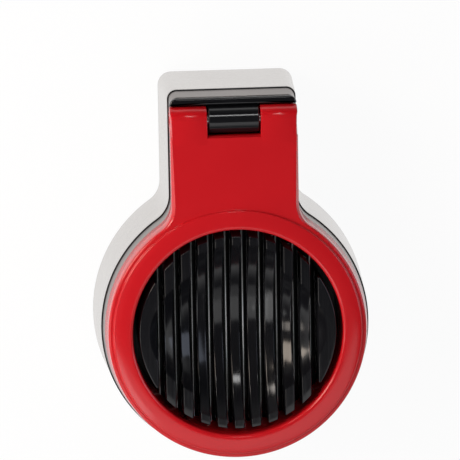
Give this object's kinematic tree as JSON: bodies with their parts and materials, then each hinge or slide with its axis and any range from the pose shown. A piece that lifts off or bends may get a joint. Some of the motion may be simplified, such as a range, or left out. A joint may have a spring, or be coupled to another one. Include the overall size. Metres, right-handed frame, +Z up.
{
  "type": "egg slicer",
  "caption": "Round egg slicer: keyhole-shaped steel base with a slotted egg cradle, and a hinged plastic frame strung with cutting wires that swings down through the slots.",
  "frame": {"origin": "centre of the whole outline in plan, on the table that the closed slicer stands on", "axes": "+Z up out of the egg bowl, +Y towards the hinge tail, +X to the right across the wires"},
  "size_m": [0.0856, 0.1186, 0.04],
  "materials": {
    "polished_steel": "satin polished stainless sheet",
    "collar_steel": "satin stainless sheet, darker tone",
    "wire_steel": "drawn stainless wire",
    "screw_steel": "zinc plated",
    "red_abs": "glossy moulded ABS",
    "black_abs": "glossy moulded ABS",
    "black_foot": "matt moulded plastic"
  },
  "bodies": {
    "base": {"base_shell": "polished_steel", "collar": "collar_steel", "cradle": "black_abs", "bottom_frame": "black_foot", "base_screws": "screw_steel", "hinge_bracket": "black_abs", "hinge_screws": "screw_steel"},
    "frame": {"frame_ring": "red_abs", "wire_carrier": "red_abs", "frame_screws": "screw_steel", "hinge_pin": "wire_steel", "wire_1": "wire_steel", "wire_2": "wire_steel", "wire_3": "wire_steel", "wire_4": "wire_steel", "wire_5": "wire_steel", "wire_6": "wire_steel", "wire_7": "wire_steel", "wire_8": "wire_steel", "wire_9": "wire_steel", "wire_10": "wire_steel"}
  },
  "joints": [
    {"name": "frame_hinge", "type": "hinge", "parent": "base", "child": "frame", "pos_m": [0, 0.04947, 0.033], "axis": [-1, 0, 0], "range_deg": [0, 95]}
  ]
}
